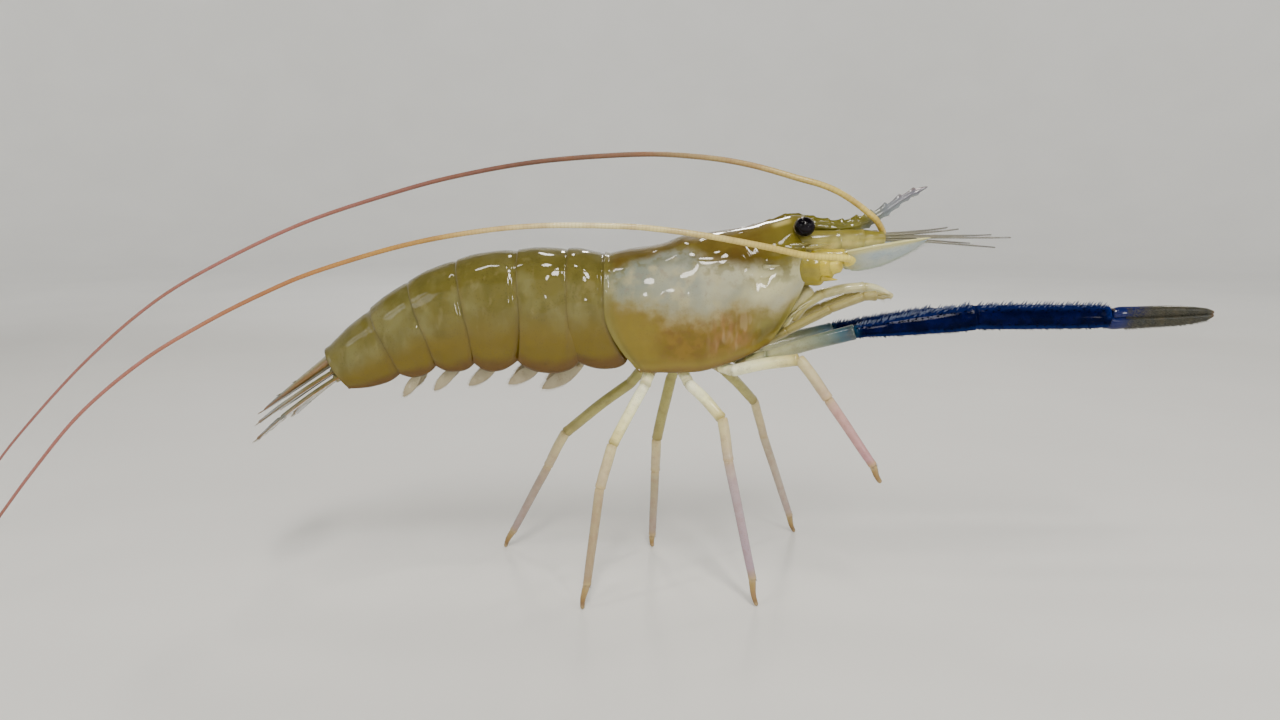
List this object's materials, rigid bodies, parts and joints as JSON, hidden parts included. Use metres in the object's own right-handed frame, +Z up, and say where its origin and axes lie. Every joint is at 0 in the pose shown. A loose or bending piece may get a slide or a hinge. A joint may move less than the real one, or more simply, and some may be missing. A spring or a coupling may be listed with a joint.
{
  "type": "giant river prawn",
  "caption": "Life-size still model of a blue-clawed giant river prawn standing on its walking legs, great claws held straight forward and long feelers swept back.",
  "frame": {"origin": "on the floor, below the middle of the model's bounding box", "axes": "+X towards the head, +Y the animal's left, +Z up"},
  "size_m": [0.4431, 0.0803, 0.146],
  "materials": {
    "carapace_shell": "wet, translucent grey with an olive back and ochre blotches low on the sides",
    "abdomen_shell": "wet olive green with darker seams and an orange-brown lower rim",
    "tail_fan": "wet, thin, olive to rusty with dark tips",
    "eye": "wet, almost black",
    "head_limbs": "wet yellow-olive",
    "antenna_scale": "thin, translucent blue-grey with a pale yellow outer rib",
    "feeler": "yellow-orange turning salmon pink towards the tips",
    "leg_cream": "cream yellow, olive in the joints",
    "leg_lilac": "pinkish lilac with orange-brown joints and tips",
    "claw_arm_pale": "pale yellow to pale blue",
    "claw_blue": "deep navy blue, wet, with fine spinules",
    "claw_velvet": "grey-brown felt of short hairs",
    "swimmeret": "pale, thin, fringed"
  },
  "bodies": {
    "root": {"abdomen_1": "abdomen_shell", "abdomen_2": "abdomen_shell", "abdomen_3": "abdomen_shell", "abdomen_4": "abdomen_shell", "abdomen_5": "abdomen_shell", "abdomen_6": "abdomen_shell", "antenna_base_L": "head_limbs", "antenna_base_R": "head_limbs", "antenna_scale_L": "antenna_scale", "antenna_scale_R": "antenna_scale", "antennule_L": "head_limbs", "antennule_R": "head_limbs", "carapace": "carapace_shell", "claw_L_carpus": "claw_blue", "claw_L_finger": "claw_velvet", "claw_L_merus": "claw_arm_pale", "claw_L_palm": "claw_blue", "claw_R_carpus": "claw_blue", "claw_R_finger": "claw_velvet", "claw_R_merus": "claw_arm_pale", "claw_R_palm": "claw_blue", "cornea_L": "eye", "cornea_R": "eye", "eyestalk_L": "head_limbs", "eyestalk_R": "head_limbs", "feeler_L_root": "feeler", "feeler_L_tip": "feeler", "feeler_R_root": "feeler", "feeler_R_tip": "feeler", "leg1_L": "leg_cream", "leg1_R": "leg_cream", "leg3_L_lower": "leg_lilac", "leg3_L_upper": "leg_cream", "leg3_R_lower": "leg_lilac", "leg3_R_upper": "leg_cream", "leg4_L_lower": "leg_lilac", "leg4_L_upper": "leg_cream", "leg4_R_lower": "leg_lilac", "leg4_R_upper": "leg_cream", "leg5_L_lower": "leg_lilac", "leg5_L_upper": "leg_cream", "leg5_R_lower": "leg_lilac", "leg5_R_upper": "leg_cream", "maxilliped_L": "leg_cream", "maxilliped_R": "leg_cream", "swimmerets_1": "swimmeret", "swimmerets_2": "swimmeret", "swimmerets_3": "swimmeret", "swimmerets_4": "swimmeret", "swimmerets_5": "swimmeret", "telson": "abdomen_shell", "thorax": "carapace_shell", "uropod_L_inner": "tail_fan", "uropod_L_outer": "tail_fan", "uropod_R_inner": "tail_fan", "uropod_R_outer": "tail_fan"}
  },
  "joints": []
}
